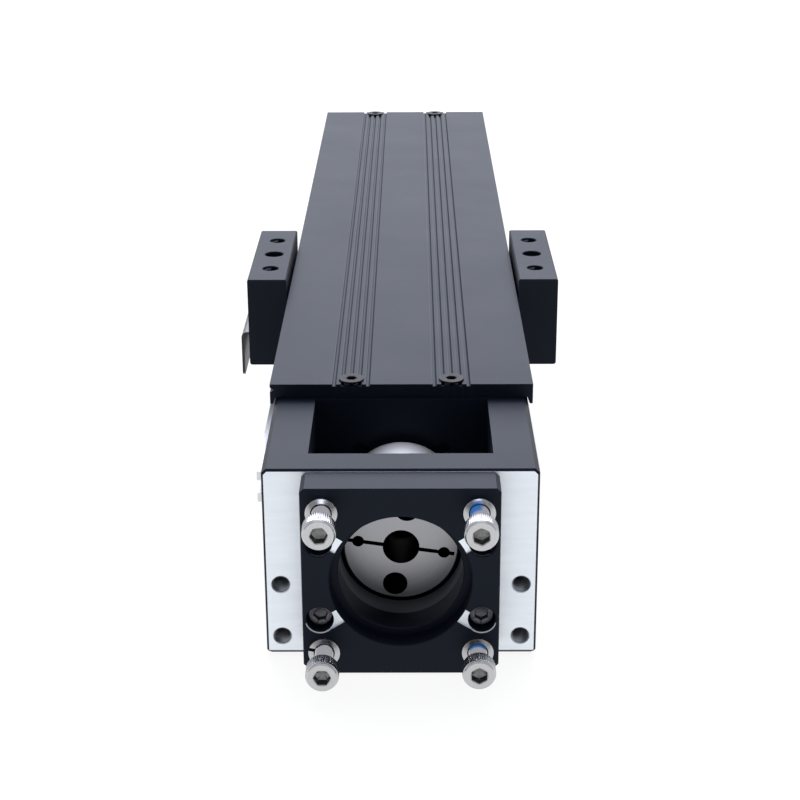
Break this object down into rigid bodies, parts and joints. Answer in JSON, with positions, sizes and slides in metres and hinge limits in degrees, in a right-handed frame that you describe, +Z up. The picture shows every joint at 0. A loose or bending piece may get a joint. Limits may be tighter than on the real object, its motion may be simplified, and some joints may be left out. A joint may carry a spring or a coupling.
{
  "type": "ball screw linear stage",
  "caption": "Covered ball screw linear stage: steel channel rail, coupling window, servo motor adapter plate and a table with a block on each side of the cover.",
  "frame": {"origin": "centre of the base's outer bolt pattern, on the mounting face", "axes": "+Y along the travel, away from the motor; +Z up from the mounting face; +X to the right seen from the motor"},
  "size_m": [0.0853, 0.3604, 0.051],
  "materials": {
    "rail_steel": "ground",
    "black_anodised": "satin black anodised",
    "black_steel": "black oxide",
    "stainless": "bright",
    "grey_steel": "plated",
    "bearing_steel": "polished",
    "screw_steel": "ground",
    "coupling_alloy": "turned",
    "black_plastic": "matt",
    "seal_rubber": "matt",
    "brass": "turned",
    "sheet_steel": "sheet",
    "bare_aluminium": "mill"
  },
  "bodies": {
    "base": {"base_rail": "rail_steel", "motor_side_housing": "black_anodised", "rear_housing": "black_anodised", "housing_screws": "black_steel", "motor_adapter_plate": "black_anodised", "adapter_plate_screws": "black_steel", "motor_screws": "stainless", "motor_spring_washers": "stainless", "top_cover": "black_anodised", "cover_screws": "grey_steel", "fixed_bearing_outer_rings": "bearing_steel", "free_bearing_outer_ring": "bearing_steel", "bearing_retainer": "grey_steel", "sensor_rail": "bare_aluminium", "sensor_rail_screws": "stainless", "front_bumper": "seal_rubber", "rear_bumper": "seal_rubber"},
    "screw": {"ball_screw_shaft": "screw_steel", "fixed_bearing_inner_rings": "bearing_steel", "free_bearing_inner_ring": "bearing_steel", "bearing_lock_nut": "black_steel", "rear_snap_ring": "black_steel", "coupling_motor_hub": "coupling_alloy", "coupling_disc": "coupling_alloy", "coupling_screw_hub": "coupling_alloy", "coupling_clamp_screws": "black_steel"},
    "bearing_balls": {"fixed_bearing_balls": "bearing_steel", "free_bearing_balls": "bearing_steel"},
    "slider": {"slider_block": "rail_steel", "ball_nut": "screw_steel", "front_end_cap": "black_plastic", "rear_end_cap": "black_plastic", "end_cap_screws": "stainless", "front_seal": "seal_rubber", "rear_seal": "seal_rubber", "grease_nipple": "brass", "table": "black_anodised", "table_screws": "black_steel", "sensor_dog": "sheet_steel", "sensor_dog_screws": "stainless"}
  },
  "joints": [
    {"name": "slider_slide", "type": "slide", "parent": "base", "child": "slider", "axis": [0, 1, 0], "range_m": [-0.03, 0.144]},
    {"name": "screw_spin", "type": "hinge", "parent": "base", "child": "screw", "pos_m": [0, 0, 0.022], "axis": [0, 1, 0], "range_deg": [-5190, 1086]},
    {"name": "bearing_ball_orbit", "type": "hinge", "parent": "base", "child": "bearing_balls", "pos_m": [0, 0, 0.022], "axis": [0, 1, 0], "range_deg": [-2080, 438]}
  ],
  "couplings": [
    {"joint": "screw_spin", "follows": "slider_slide", "rad_per_m": -628.32},
    {"joint": "bearing_ball_orbit", "follows": "slider_slide", "rad_per_m": -251.33}
  ]
}
